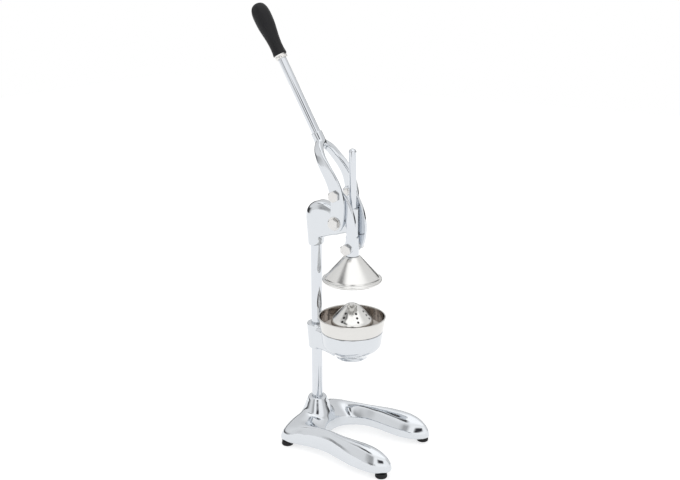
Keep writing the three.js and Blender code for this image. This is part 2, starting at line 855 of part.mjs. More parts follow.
add("base_casting", footCasting(), chrome);
add("post", post(), chrome);
add("post_washer", postWasher(), fastener);
add("post_bolt", postBolt(), fastener);
add("bowl_holder", bowlHolder(), chrome);
add("holder_set_screw", collarScrew(196, 17), fastener);
add("juice_bowl", juiceBowl(), stainless);
add("reamer", reamer(), stainless);
add("head_casting", headCasting(), chrome);
add("head_set_screw", collarScrew(392, 17), fastener);
add("pivot_bolt", pivotBolt(), fastener);
add("pivot_nut", pivotNut(), fastener);
add("lever_fork", leverFork(), chrome);
add("lever_tube", leverTube(), chrome);
add("grip_ferrule", gripFerrule(), stainless);
add("grip", grip(), blackGrip);
add("plunger_rod", plungerRod(), chrome);
add("plunger_hub", plungerHub(), chrome);
add("press_cone", pressCone(), stainless);
add("cone_washer", coneWasher(), fastener);
add("cone_screw", coneScrew(), fastener);
add("cross_bolt", crossBolt(), fastener);
add("cross_nut", crossNut(), fastener);
for (const [name, side] of SIDES) {
  add(`foot_rear_${name}`, rubberFoot(REAR_FOOT, side), blackRubber);
  add(`foot_front_${name}`, rubberFoot(FRONT_FOOT, side), blackRubber);
  add(`pivot_washer_${name}`, pivotWasher(side), fastener);
  add(`fork_bolt_${name}`, forkBolt(side), fastener);
  add(`link_${name}`, link(side), chrome);
  add(`link_pin_${name}`, linkPin(side), fastener);
  add(`hub_washer_${name}`, hubWasher(side), fastener);
}

const group = new THREE.Group();
group.add(press);
export default group;
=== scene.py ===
"""Looks of the hand-lever citrus press: smooth castings, turned parts, hardware and finishes.

Local millimetres are measured from the post's axis at counter height: X across the press, -Y
towards the user, +Z up.
"""

import math

import bpy
import numpy as np
from mathutils import Euler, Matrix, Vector


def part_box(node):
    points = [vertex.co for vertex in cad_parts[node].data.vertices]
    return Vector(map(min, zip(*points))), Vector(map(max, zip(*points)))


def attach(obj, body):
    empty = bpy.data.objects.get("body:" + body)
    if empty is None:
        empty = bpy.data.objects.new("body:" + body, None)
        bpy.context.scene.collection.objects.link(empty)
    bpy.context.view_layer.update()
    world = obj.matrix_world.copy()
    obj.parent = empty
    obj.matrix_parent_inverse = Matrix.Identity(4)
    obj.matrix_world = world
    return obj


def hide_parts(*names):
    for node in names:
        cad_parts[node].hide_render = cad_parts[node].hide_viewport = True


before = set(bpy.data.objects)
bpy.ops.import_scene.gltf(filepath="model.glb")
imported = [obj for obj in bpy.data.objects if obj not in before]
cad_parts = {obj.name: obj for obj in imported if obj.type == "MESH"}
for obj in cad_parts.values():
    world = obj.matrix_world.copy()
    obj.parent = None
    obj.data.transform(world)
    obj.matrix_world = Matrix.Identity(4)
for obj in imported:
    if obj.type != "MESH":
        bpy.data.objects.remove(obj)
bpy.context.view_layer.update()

MM = 0.001
TURN = 2 * math.pi


def box_centre(node):
    low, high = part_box(node)
    return (low + high) / 2


CLEARANCE = 0.3
POST_X, POST_Y = box_centre("post").x, box_centre("post").y
PLUNGER_Y = (box_centre("plunger_rod").y - POST_Y) / MM
PIVOT_Y = (box_centre("pivot_bolt").y - POST_Y) / MM
PIVOT_Z = box_centre("pivot_bolt").z / MM
CROSS_Z = box_centre("cross_bolt").z / MM
FORK_BOLT_Z = box_centre("fork_bolt_left").z / MM
LEVER_LEAN = math.radians(29.8)
LEVER_FOOT_Y, LEVER_FOOT_Z = -10.6, 534.0


# ---- Camera, light and floor --------------------------------------------------------------
def make_camera():
    data = bpy.data.cameras.new("camera")
    data.lens = 50.82
    data.sensor_width = 36
    data.clip_start = 0.05
    data.clip_end = 60
    camera = bpy.data.objects.new("camera", data)
    camera.location = (-1.31397, -0.83503, 0.82931)
    camera.rotation_euler = Euler([math.radians(a) for a in (73.54, 0, -57.99)])
    bpy.context.scene.collection.objects.link(camera)
    bpy.context.scene.camera = camera


make_camera()


class Nodes:
    """Short way to write a shader tree."""

    def __init__(self, owner):
        owner.use_nodes = True
        self.tree = owner.node_tree
        self.tree.nodes.clear()

    def add(self, kind, settings=None, **inputs):
        node = self.tree.nodes.new(kind)
        for key, value in (settings or {}).items():
            setattr(node, key, value)
        for key, value in inputs.items():
            self.feed(node, key.replace("_", " "), value)
        return node

    def feed(self, node, key, value):
        socket = node.inputs[int(key)] if str(key).isdigit() else node.inputs[key]
        if isinstance(value, bpy.types.NodeSocket):
            self.tree.links.new(value, socket)
        else:
            socket.default_value = value

    def math(self, operation, a, b=0.0):
        node = self.add("ShaderNodeMath", {"operation": operation})
        self.feed(node, 0, a)
        self.feed(node, 1, b)
        return node.outputs[0]

    def ramp(self, factor, stops, smooth=True):
        node = self.add("ShaderNodeValToRGB")
        self.feed(node, "Fac", factor)
        ramp = node.color_ramp
        ramp.interpolation = "EASE" if smooth else "LINEAR"
        while len(ramp.elements) < len(stops):
            ramp.elements.new(0.5)
        for element, (place, value) in zip(ramp.elements, stops):
            element.position = place
            colour = value if isinstance(value, tuple) else (value,) * 3
            element.color = (*colour, 1)
        return node.outputs["Color"]

    def mix(self, factor, a, b, blend="MIX"):
        node = self.add("ShaderNodeMix", {"data_type": "RGBA", "blend_type": blend})
        self.feed(node, 0, factor)
        self.feed(node, 6, a)
        self.feed(node, 7, b)
        return node.outputs[2]

    def scaled_mix(self, factor, tint, low, high=1.0):
        """Mixes a tint times low with the same tint times high."""
        return self.mix(factor, (*(c * low for c in tint), 1), (*(c * high for c in tint), 1))


# The room as the chrome mirrors it: light and dark bands, fixed in the room. Each pair
# gives an azimuth in degrees from CAMERA_SIDE towards PICTURE_RIGHT, and a brightness.
CAMERA_SIDE = (-0.848, -0.530)
PICTURE_RIGHT = (0.530, -0.848)
LOW_ROOM = [
    (-180, 0.50),
    (-145, 0.62),
    (-122, 0.78),
    (-114, 0.78),
    (-110, 0.08),
    (-106, 0.80),
    (-84, 0.88),
    (-60, 0.92),
    (-47, 0.86),
    (-43, 0.24),
    (-29, 0.20),
    (-27, 1.05),
    (-24, 1.05),
    (-21, 0.03),
    (-18, 1.20),
    (20, 1.25),
    (44, 1.18),
    (50, 0.82),
    (74, 0.80),
    (78, 0.50),
    (84, 0.72),
    (112, 0.60),
    (150, 0.44),
    (180, 0.50),
]
HIGH_ROOM = [
    (-180, 0.78),
    (-120, 0.84),
    (-90, 0.95),
    (-55, 0.90),
    (-40, 0.48),
    (-32, 0.48),
    (-26, 1.15),
    (-12, 1.20),
    (11, 1.20),
    (45, 1.15),
    (60, 0.75),
    (100, 0.88),
    (150, 0.82),
    (180, 0.78),
]


def azimuth(n, x, y):
    """Azimuth of a direction from CAMERA_SIDE, from 0 to 1 with CAMERA_SIDE itself at a half."""

    def along(axis):
        return n.math("ADD", n.math("MULTIPLY", x, axis[0]), n.math("MULTIPLY", y, axis[1]))

    angle = n.math("ARCTAN2", along(PICTURE_RIGHT), along(CAMERA_SIDE))
    return n.math("ADD", n.math("DIVIDE", angle, TURN), 0.5)


def room_ramp(n, turned_by, stops):
    return n.ramp(turned_by, [((degrees + 180) / 360, value) for degrees, value in stops], smooth=False)


def make_world():
    world = bpy.data.worlds.new("studio")
    bpy.context.scene.world = world
    n = Nodes(world)
    direction = n.add("ShaderNodeTexCoord").outputs["Generated"]
    xyz = n.add("ShaderNodeSeparateXYZ", Vector=direction)
    turned_by = azimuth(n, xyz.outputs["X"], xyz.outputs["Y"])
    elevation = n.math("DIVIDE", n.math("ARCSINE", xyz.outputs["Z"]), math.pi)
    elevation = n.math("ADD", elevation, 0.5)  # 0 straight down, 0.5 the horizon, 1 overhead

    def by_height(stops):
        return n.ramp(elevation, [((degrees + 90) / 180, value) for degrees, value in stops], smooth=False)

    low = room_ramp(n, turned_by, LOW_ROOM)
    high = room_ramp(n, turned_by, HIGH_ROOM)
    walls = n.mix(by_height([(3, 0.0), (9, 1.0)]), low, high)
    dark_panel = room_ramp(n, turned_by, [(-12, 0.0), (-5, 1.0), (9, 1.0), (16, 0.0)])
    dark_panel = n.mix(1.0, dark_panel, by_height([(10, 0.0), (17, 1.0), (27, 1.0), (34, 0.0)]), "MULTIPLY")
    walls = n.mix(dark_panel, walls, (0.05, 0.05, 0.055, 1))
    away = room_ramp(n, turned_by, [(-100, 1.0), (-70, 0.0), (70, 0.0), (100, 1.0)])
    horizon = by_height([(-8, 1.0), (-5, 0.08), (6, 0.08), (9, 1.0)])
    walls = n.mix(away, walls, n.mix(1.0, walls, horizon, "MULTIPLY"))
    front_sky = by_height([(44, 1.1), (47, 0.10), (55, 0.10), (59, 1.35)])
    back_sky = by_height([(42, 0.85), (60, 1.05), (75, 1.35)])
    open_sky = by_height([(44, 1.1), (57, 1.35)])
    gap = room_ramp(n, turned_by, [(-118, 0.0), (-106, 1.0), (-42, 1.0), (-32, 0.0)])
    sky = n.mix(away, n.mix(gap, open_sky, front_sky), back_sky)
    around = n.mix(by_height([(34, 0.0), (44, 1.0)]), walls, sky)
    seen = n.add("ShaderNodeBackground", Color=around, Strength=1.0)
    white = n.add("ShaderNodeBackground", Color=(1, 1, 1, 1), Strength=1.0)
    path = n.add("ShaderNodeLightPath")
    both = n.add("ShaderNodeMixShader", Fac=path.outputs["Is Camera Ray"])
    n.tree.links.new(seen.outputs[0], both.inputs[1])
    n.tree.links.new(white.outputs[0], both.inputs[2])
    n.add("ShaderNodeOutputWorld", Surface=both.outputs[0])


make_world()


def make_floor():
    """A plain pale floor, the same to the camera and to the chrome."""
    data = bpy.data.meshes.new("floor")
    half = 4.0
    corners = [(-half, -half, 0), (half, -half, 0), (half, half, 0), (-half, half, 0)]
    data.from_pydata(corners, [], [(0, 1, 2, 3)])
    floor = bpy.data.objects.new("floor", data)
    bpy.context.scene.collection.objects.link(floor)
    material = bpy.data.materials.new("floor")
    n = Nodes(material)
    lit = n.add("ShaderNodeBsdfDiffuse", Color=(0.5, 0.5, 0.5, 1))
    glow = n.add("ShaderNodeEmission", Color=(1, 1, 1, 1), Strength=0.62)
    pale = n.add("ShaderNodeAddShader")
    n.tree.links.new(lit.outputs[0], pale.inputs[0])
    n.tree.links.new(glow.outputs[0], pale.inputs[1])
    n.add("ShaderNodeOutputMaterial", Surface=pale.outputs[0])
    data.materials.append(material)


make_floor()
bpy.context.scene.view_settings.view_transform = "Standard"


REAMER_LOBES = 7
REAMER_PHASE = math.radians(231)
REAMER_HOLES = ((20.4, 250.4), (25.8, 244.6), (31.2, 238.8))
HOLE_R = 1.75
PINHOLES, PINHOLES_R, PINHOLE_R = 5, 6.4, 0.95


# ---- Finishes -----------------------------------------------------------------------------
def local_point(n):
    return n.add("ShaderNodeTexCoord").outputs["Object"]


def noise(n, point, scale, detail=3.0, roughness=0.5):
    node = n.add("ShaderNodeTexNoise", Vector=point, Scale=scale, Detail=detail, Roughness=roughness)
    return node.outputs["Fac"]


def stretched(n, point, scale):
    return n.add("ShaderNodeMapping", Vector=point, Scale=scale).outputs["Vector"]


def metal(n, colour, roughness, normal):
    """Ends a shader tree in a metal surface."""
    settings = {"Metallic": 1.0, "Base_Color": colour, "Roughness": roughness, "Normal": normal}
    shader = n.add("ShaderNodeBsdfPrincipled", **settings)
    n.add("ShaderNodeOutputMaterial", Surface=shader.outputs[0])


def chrome(name, tint, ripple, roughness=0.05):
    """Bright plating: a mirror with fine haze, faint polishing lines and, on castings, soft waves."""
    material = bpy.data.materials.new(name)
    n = Nodes(material)
    point = local_point(n)
    haze = noise(n, point, 60, 4)
    lines = noise(n, stretched(n, point, (900, 900, 90)), 1.0, 2)
    cloud = n.ramp(haze, [(0.3, roughness), (0.75, roughness * 2.2)])
    waves = noise(n, point, 34, 1.5)
    bump = n.add("ShaderNodeBump", Strength=ripple, Distance=0.0016, Height=waves)
    fine = n.add("ShaderNodeBump", Strength=0.02, Distance=0.0002, Height=lines, Normal=bump.outputs[0])
    colour = n.scaled_mix(haze, tint, 0.97)
    metal(n, colour, cloud, fine.outputs[0])
    return material


def around_axis(n, axis_y):
    """Distance from the vertical axis at axis_y, height, and the point, all in metres."""
    moved = n.add("ShaderNodeMapping", Vector=local_point(n), Location=(0, -axis_y, 0)).outputs[0]
    xyz = n.add("ShaderNodeSeparateXYZ", Vector=moved)
    squares = n.math("ADD", n.math("POWER", xyz.outputs["X"], 2.0), n.math("POWER", xyz.outputs["Y"], 2.0))
    return n.math("SQRT", squares), xyz.outputs["Z"], moved


def bowl_inside(n, radius, height, moved):
    """1 on the bowl's inner face, where shade is painted into the colour as a darker tint, and 0 on its
    outer face.
    """
    foot_r, foot_z, flare, lip_z = 54.1 * MM, 217.5 * MM, 0.168, 240.2 * MM
    per_two_mm = 1 / (2 * MM)
    wall = n.math("MULTIPLY_ADD", n.math("SUBTRACT", height, foot_z), flare)
    wall.node.inputs[2].default_value = foot_r
    into_wall = n.math("MULTIPLY", n.math("SUBTRACT", wall, radius), per_two_mm)
    under_lip = n.math("MULTIPLY", n.math("SUBTRACT", lip_z, height), per_two_mm)
    inner = n.ramp(into_wall, [(0.3, 0.0), (0.6, 1.0)])
    below_lip = n.ramp(under_lip, [(0.0, 0.0), (0.8, 1.0)])
    return n.math("MULTIPLY", inner, below_lip)


def reamer_holes(n, radius, height, moved):
    """1 within the drilled holes, where shade is painted into the colour almost black, and 0 elsewhere."""
    xyz = n.add("ShaderNodeSeparateXYZ", Vector=moved)
    turned_by = n.math("ARCTAN2", xyz.outputs["Y"], xyz.outputs["X"])

    def beside(count):
        """Distance round the axis from the nearest of evenly spaced holes, squared."""
        sector = TURN / count
        angle = n.math("DIVIDE", n.math("SUBTRACT", turned_by, REAMER_PHASE - 2 * TURN), sector)
        folded = n.math("SUBTRACT", n.math("FRACT", n.math("ADD", angle, 0.5)), 0.5)
        return n.math("POWER", n.math("MULTIPLY", n.math("MULTIPLY", folded, sector), radius), 2.0)

    sides = beside(REAMER_LOBES)
    within = 0.0
    rows = [(r, HOLE_R, math.sqrt(2), sides) for r, _ in REAMER_HOLES]
    rows.append((PINHOLES_R, PINHOLE_R, 1.0, beside(PINHOLES)))
    for r, hole, slope, sideways in rows:
        down = n.math("MULTIPLY", n.math("SUBTRACT", radius, r * MM), slope)
        away = n.math("SQRT", n.math("ADD", sideways, n.math("MULTIPLY", down, down)))
        share = n.math("DIVIDE", away, hole * MM * 2)
        within = n.math("MAXIMUM", n.ramp(share, [(0.53, 1.0), (0.62, 0.0)]), within)
    return within


def spun(name, tint, roughness, shade=None, shade_tint=(0.02, 0.02, 0.02), axis_y=0.0):
    """Sheet spun on a lathe: fine rings round a vertical axis. shade(...) tells where painted shade darkens
    the colour.
    """
    material = bpy.data.materials.new(name)
    n = Nodes(material)
    radius, height, moved = around_axis(n, axis_y)
    along = n.math("ADD", radius, height)
    fine, coarse = n.math("MULTIPLY", along, 2600.0), n.math("MULTIPLY", radius, 900.0)
    rings = noise(n, n.add("ShaderNodeCombineXYZ", X=fine, Y=coarse).outputs[0], 1.0, 2)
    smudge = noise(n, moved, 28, 4, 0.6)
    rough = n.math("ADD", n.math("MULTIPLY", rings, 0.06), n.math("MULTIPLY", smudge, 0.08))
    rough = n.math("ADD", rough, roughness - 0.07)
    colour = n.scaled_mix(smudge, tint, 0.92)
    # Painted shade: the colour is darkened towards shade_tint where shade(...) says, with a noise mottle in
    # its strength.
    if shade:
        shade_mottle = noise(n, moved, 90, 4, 0.65)
        dark = n.scaled_mix(shade_mottle, shade_tint, 0.6, 1.3)
        colour = n.mix(shade(n, radius, height, moved), colour, dark)
    bump = n.add("ShaderNodeBump", Strength=0.10, Distance=0.0001, Height=rings)
    metal(n, colour, rough, bump.outputs[0])
    return material


def nickel(name):
    """Plated hex hardware, a little dull, with small blotches."""
    material = bpy.data.materials.new(name)
    n = Nodes(material)
    point = local_point(n)
    blotch = noise(n, point, 240, 4, 0.6)
    rough = n.ramp(blotch, [(0.3, 0.12), (0.7, 0.30)])
    colour = n.mix(blotch, (0.60, 0.595, 0.585, 1), (0.82, 0.81, 0.80, 1))
    bump = n.add("ShaderNodeBump", Strength=0.12, Distance=0.0002, Height=blotch)
    metal(n, colour, rough, bump.outputs[0])
    return material


def moulded(name, colour, roughness, grain):
    """Black moulded grip or rubber: fine grain and faint handling marks."""
    material = bpy.data.materials.new(name)
    n = Nodes(material)
    point = local_point(n)
    cells = n.add("ShaderNodeTexVoronoi", Vector=point, Scale=grain)
    marks = noise(n, point, 45, 4, 0.6)
    tone = n.scaled_mix(marks, colour, 0.7, 1.25)
    rough = n.ramp(marks, [(0.3, roughness - 0.07), (0.75, roughness + 0.09)])
    bump = n.add("ShaderNodeBump", Strength=0.25, Distance=0.0002, Height=cells.outputs["Distance"])
    shader = n.add("ShaderNodeBsdfPrincipled", Base_Color=tone, Roughness=rough, Normal=bump.outputs[0])
    shader.inputs["Specular IOR Level"].default_value = 0.28
    n.add("ShaderNodeOutputMaterial", Surface=shader.outputs[0])
    return material


CAST_CHROME = chrome("cast_chrome", (0.69, 0.715, 0.745), 0.08)
BAR_CHROME = chrome("bar_chrome", (0.69, 0.715, 0.75), 0.02, 0.04)
BOWL_Y = POST_Y + PLUNGER_Y * MM
# The bowl's inner face has shade painted into its colour as a darker tint.
BOWL_STEEL = spun("bowl_steel", (0.74, 0.73, 0.71), 0.11, bowl_inside, (0.54, 0.50, 0.47), BOWL_Y)
CONE_STEEL = spun("cone_steel", (0.80, 0.795, 0.78), 0.19, axis_y=BOWL_Y)
# The reamer's drilled holes have shade painted into their colour, almost black.
REAMER_STEEL = spun("reamer_steel", (0.80, 0.795, 0.775), 0.14, reamer_holes, axis_y=BOWL_Y)
FERRULE_STEEL = spun("ferrule_steel", (0.80, 0.79, 0.77), 0.14)
NICKEL = nickel("nickel")
GRIP_BLACK = moulded("grip_black", (0.008, 0.008, 0.0095), 0.44, 1500)
RUBBER_BLACK = moulded("rubber_black", (0.010, 0.010, 0.011), 0.62, 900)


# ---- Mesh tools ---------------------------------------------------------------------------
def placed(points):
    """Local millimetres to the row frame."""
    return np.asarray(points, float) * MM + np.array([POST_X, POST_Y, 0])


def new_object(name, points, faces):
    data = bpy.data.meshes.new(name)
    data.from_pydata(placed(points).tolist(), [], [list(f) for f in faces])
    data.validate()
    data.update()
    obj = bpy.data.objects.new(name, data)
    bpy.context.scene.collection.objects.link(obj)
    return obj


def turned_outwards(points, faces):
    points = np.asarray(points, float)
    centre = points.mean(0)
    volume = 0.0
    for face in faces:
        a = points[face[0]] - centre
        for i in range(1, len(face) - 1):
            volume += a @ np.cross(points[face[i]] - centre, points[face[i + 1]] - centre)
    return faces if volume > 0 else [tuple(reversed(f)) for f in faces]


def smooth(values, steps):
    """Centripetal spline through the rows of values, sampled steps times, ends included."""
    p = np.asarray(values, float)
    first = 2 * p[0] - p[1]
    last = 2 * p[-1] - p[-2]
    p = np.vstack([first, p, last])
    at = np.linspace(0, len(p) - 3, steps)
    index = np.minimum(at.astype(int), len(p) - 4)
    t = (at - index)[:, None]
    p0, p1, p2, p3 = p[index], p[index + 1], p[index + 2], p[index + 3]

    def knot(a, b):
        return np.maximum(np.linalg.norm(b - a, axis=1, keepdims=True) ** 0.5, 1e-6)

    k0, k1, k2 = knot(p0, p1), knot(p1, p2), knot(p2, p3)
    m1 = (p1 - p0) / k0 - (p2 - p0) / (k0 + k1) + (p2 - p1) / k1
    m2 = (p2 - p1) / k1 - (p3 - p1) / (k1 + k2) + (p3 - p2) / k2
    m1, m2 = m1 * k1, m2 * k1
    return (
        (2 * t**3 - 3 * t**2 + 1) * p1
        + (t**3 - 2 * t**2 + t) * m1
        + (-2 * t**3 + 3 * t**2) * p2
        + (t**3 - t**2) * m2
    )


def between_rings(count, n):
    """Faces between neighbouring rings of n points."""
    faces = []
    for i in range(count - 1):
        for j in range(n):
            k = (j + 1) % n
            faces.append((i * n + j, i * n + k, (i + 1) * n + k, (i + 1) * n + j))
    return faces


def loft(rings):
    """Points and faces of a skin through closed rings, capped at both ends."""
    rings = np.asarray(rings, float)
    count, n = rings.shape[:2]
    points = list(rings.reshape(-1, 3))
    faces = between_rings(count, n)
    for start, flip in ((0, True), ((count - 1) * n, False)):
        points.append(np.mean(points[start : start + n], axis=0))
        for j in range(n):
            corner = (start + j, start + (j + 1) % n, len(points) - 1)
            faces.append(tuple(reversed(corner)) if flip else corner)
    return points, turned_outwards(points, faces)


def rounded(profile, radius, steps=3):
    """Profile with its inner corners replaced by short arcs; a point's third number is its own radius."""
    out = [profile[0][:2]]
    for before, here, after in zip(profile, profile[1:], profile[2:]):
        r = here[2] if len(here) > 2 else radius
        p, a, b = (np.array(v[:2], float) for v in (here, before, after))
        u, v = a - p, b - p
        cut = min(r, 0.45 * np.linalg.norm(u), 0.45 * np.linalg.norm(v))
        if cut < 1e-4:
            out.append(tuple(p))
            continue
        start, end = p + u / np.linalg.norm(u) * cut, p + v / np.linalg.norm(v) * cut
        for s in np.linspace(0, 1, steps + 1):
            out.append(tuple((1 - s) ** 2 * start + 2 * s * (1 - s) * p + s**2 * end))
    out.append(profile[-1][:2])
    return out


def lathe(profile, segments=96, y=0.0, dip=None):
    """Points and faces of a body of revolution about the vertical at (0, y).

    The profile starts and ends on the axis, or closes on itself. dip(angle) times a point's third
    number is how far the surface sinks in there.
    """
    points, faces, starts = [], [], []
    for entry in profile:
        r, z, depth = (*entry, 0)[:3]
        starts.append(len(points))
        for j in range(segments if r > 1e-6 else 1):
            angle = TURN * j / segments
            q = r - (depth * dip(angle) if dip else 0)
            points.append((q * math.cos(angle), y + q * math.sin(angle), z))
    closed = profile[0][0] > 1e-6
    rows = len(profile) if closed else len(profile) - 1

    def at(row, j):
        return starts[row] + (j % segments if profile[row][0] > 1e-6 else 0)

    for i in range(rows):
        k = (i + 1) % len(profile)
        for j in range(segments):
            face = [at(i, j), at(i, j + 1), at(k, j + 1), at(k, j)]
            faces.append(tuple(dict.fromkeys(face)))
    faces = [f for f in faces if len(f) > 2]
    return points, turned_outwards(points, faces)


def along_x(shape, side=1, y=0.0, z=0.0):
    """Turns a shape made along +Z so that it points to +X, or to -X for side -1."""
    points, faces = shape
    moved = [(side * p[2], y + p[1], z - side * p[0]) for p in points]
    return moved, turned_outwards(moved, faces)


def on_lever(shape):
    """Lays a shape made along +Z on the lever's axis."""
    points, faces = shape
    c, s = math.cos(LEVER_LEAN), math.sin(LEVER_LEAN)
    moved = [(p[0], LEVER_FOOT_Y + p[1] * c + p[2] * s, LEVER_FOOT_Z - p[1] * s + p[2] * c) for p in points]
    return moved, turned_outwards(moved, faces)


def superellipse(centre, across, along, half_across, half_along, power, count):
    angles = np.arange(count) * TURN / count
    c, s = np.cos(angles), np.sin(angles)
    u = np.sign(c) * np.abs(c) ** (2 / power)
    v = np.sign(s) * np.abs(s) ** (2 / power)
    return np.asarray(centre) + np.outer(u * half_across, across) + np.outer(v * half_along, along)


def applied(obj):
    """Replaces an object's mesh by its mesh with the modifiers applied."""
    graph = bpy.context.evaluated_depsgraph_get()
    data = bpy.data.meshes.new_from_object(obj.evaluated_get(graph))
    old = obj.data
    obj.modifiers.clear()
    obj.data = data
    bpy.data.meshes.remove(old)
    return obj


def joined(*shapes):
    """Points and faces of several shapes as one."""
    points, faces = [], []
    for shape_points, shape_faces in shapes:
        base = len(points)
        points.extend(shape_points)
        faces.extend(tuple(base + i for i in f) for f in shape_faces)
    return points, faces


def fused(name, shapes, voxel):
    """One even skin round overlapping closed shapes."""
    obj = new_object(name, *joined(*shapes))
    remesh = obj.modifiers.new("skin", "REMESH")
    remesh.mode = "VOXEL"
    remesh.voxel_size = voxel * MM
    return applied(obj)


def relax(obj, steps, weight=None, keep_volume=True):
    """Evens out a skin. weight(points in local millimetres) limits where."""
    data = obj.data
    count = len(data.vertices)
    co = np.empty(count * 3)
    data.vertices.foreach_get("co", co)
    co = co.reshape(-1, 3)
    ends = np.empty(len(data.edges) * 2, np.int32)
    data.edges.foreach_get("vertices", ends)
    a, b = ends.reshape(-1, 2).T
    degree = np.bincount(np.concatenate([a, b]), minlength=count)[:, None]
    share = 1.0
    if weight is not None:
        share = weight((co - np.array([POST_X, POST_Y, 0])) / MM)[:, None]
    for step in range(steps):
        for pull in (0.5, -0.53) if keep_volume else (0.5,):
            total = np.stack(
                [
                    np.bincount(a, co[b, axis], count) + np.bincount(b, co[a, axis], count)
                    for axis in range(3)
                ],
                axis=1,
            )
            co = co + share * pull * (total / degree - co)
    data.vertices.foreach_set("co", co.ravel())
    data.update()
    return obj


def carve(obj, *shapes):
    """Cuts closed shapes out of an object."""
    for shape in shapes:
        tool = new_object("tool", *shape)
        cut = obj.modifiers.new("cut", "BOOLEAN")
        cut.operation = "DIFFERENCE"
        cut.solver = "MANIFOLD"
        cut.object = tool
        bpy.context.view_layer.update()
        applied(obj)
        data = tool.data
        bpy.data.objects.remove(tool)
        bpy.data.meshes.remove(data)
    return obj


def finish_piece(obj, body, material, nodes, sharp=40):
    """Shading, material, body and the CAD nodes that the piece stands for."""
    obj.data.materials.clear()
    obj.data.materials.append(material)
    obj.data.shade_smooth()
    if sharp:
        obj.data.set_sharp_from_angle(angle=math.radians(sharp))
    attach(obj, body)
    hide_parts(*nodes)
    return obj


def turned(name, profile, body, material, nodes, segments=96, y=0.0, wrap=None, sharp=40, soften=0.0):
    """A lathe-turned piece, softened at its corners."""
    shape = lathe(rounded(profile, soften) if soften else profile, segments, y)
    if wrap:
        shape = wrap(shape)
    return finish_piece(new_object(name, *shape), body, material, nodes, sharp)


def cylinder(r, low, high, segments=48, y=0.0):
    return lathe([(0, low), (r, low), (r, high), (0, high)], segments, y)


# ---- Foot casting -------------------------------------------------------------------------
# Half of the foot's plan, from the back centre to the front tip: inner edge, outer edge, crest
# height, the crest's place across the leg, the underside's height and the share of the height
# that stands as a wall on the inner side.
FOOT_STATIONS = [
    ((0, -31), (0, 38), 48.5, 0.55, 10, 0.66),
    ((12, -31), (20, 39), 48.5, 0.55, 9.8, 0.66),
    ((25, -34), (46, 40), 46.5, 0.54, 8.8, 0.62),
    ((33, -38.5), (68, 34), 43.5, 0.52, 8.4, 0.56),
    ((39, -45), (75, 16), 43.5, 0.52, 8.4, 0.5),
    ((43, -53), (72.5, -10), 45, 0.53, 8.8, 0.46),
    ((46, -64), (71, -38), 46.8, 0.54, 9.8, 0.43),
    ((47.5, -77), (73.5, -64), 47.3, 0.55, 10.8, 0.42),
    ((48, -92), (80, -88), 47.3, 0.56, 10.8, 0.41),
    ((47, -110), (86, -111), 47.8, 0.56, 10, 0.4),
    ((46, -129), (89, -132), 47.8, 0.56, 9, 0.4),
    ((46.5, -148), (90, -151), 46.5, 0.55, 8.6, 0.4),
    ((50, -166), (87.5, -168), 42, 0.53, 8.6, 0.38),
    ((56, -179), (81, -181), 35, 0.51, 9, 0.36),
    ((62, -187.5), (74, -188.8), 26, 0.5, 10.5, 0.36),
    ((66, -190.6), (69.5, -190.9), 18, 0.5, 12.5, 0.36),
]
INNER_ROLL = 2.0
OUTER_POWER = 1.85
BOSS_TOP_Z = 74
BOSS_R = 17
POST_R = 9.5


def foot_casting():
    steps = 120
    inner = smooth([(*s[0], s[4]) for s in FOOT_STATIONS], steps)
    outer = smooth([(*s[1], s[4]) for s in FOOT_STATIONS], steps)
    shape = smooth([(s[2], s[3] * 100, s[5] * 100) for s in FOOT_STATIONS], steps)
    half = 22
    sections = []
    for a, b, (crest, place_percent, wall_percent) in zip(inner, outer, shape):
        place, wall = place_percent / 100, wall_percent / 100
        outline = [(0.0, 0.0)]
        for along in np.arange(half) / half:
            outline.append((place * along, wall + (1 - wall) * (1 - (1 - along) ** INNER_ROLL)))
        for angle in np.linspace(0, math.pi / 2, half + 1):
            across = place + (1 - place) * math.sin(angle) ** (2 / OUTER_POWER)
            outline.append((across, max(0.0, math.cos(angle)) ** (2 / OUTER_POWER)))
        section = []
        for across, height in outline:
            point = a + (b - a) * across
            point[2] += (crest - point[2]) * height
            section.append(point)
        sections.append(section)
    right = np.array(sections)
    left = right[:0:-1] * np.array([-1, 1, 1])
    shoe = loft(np.concatenate([left, right]))
    boss = lathe(
        rounded(
            [
                (0, 14),
                (27, 14),
                (29, 42),
                (26, 49, 4),
                (22.5, 57, 4),
                (19, 66, 3),
                (BOSS_R, 71.5, 1.5),
                (BOSS_R - 1.6, BOSS_TOP_Z, 1.2),
                (0, BOSS_TOP_Z),
            ],
            2,
        ),
        96,
    )
    obj = fused("base_casting_skin", [shoe, boss], 1.1)

    def near_boss(p):
        r = np.hypot(p[:, 0], p[:, 1])
        ring = np.clip((r - 20) / 6, 0, 1) * np.clip((52 - r) / 12, 0, 1)
        return ring * np.clip((p[:, 2] - 28) / 8, 0, 1) * np.clip((62 - p[:, 2]) / 8, 0, 1)

    def lower_edge(p):
        return np.clip((24 - p[:, 2]) / 8, 0, 1)

    relax(obj, 6)
    relax(obj, 90, near_boss, keep_volume=False)
    relax(obj, 28, lower_edge, keep_volume=False)
    relax(obj, 10)
    carve(obj, cylinder(POST_R + CLEARANCE, 30, 90, 96))
    obj.name = "foot_casting"
    finish_piece(obj, "stand", CAST_CHROME, ["base_casting"], 50)


foot_casting()


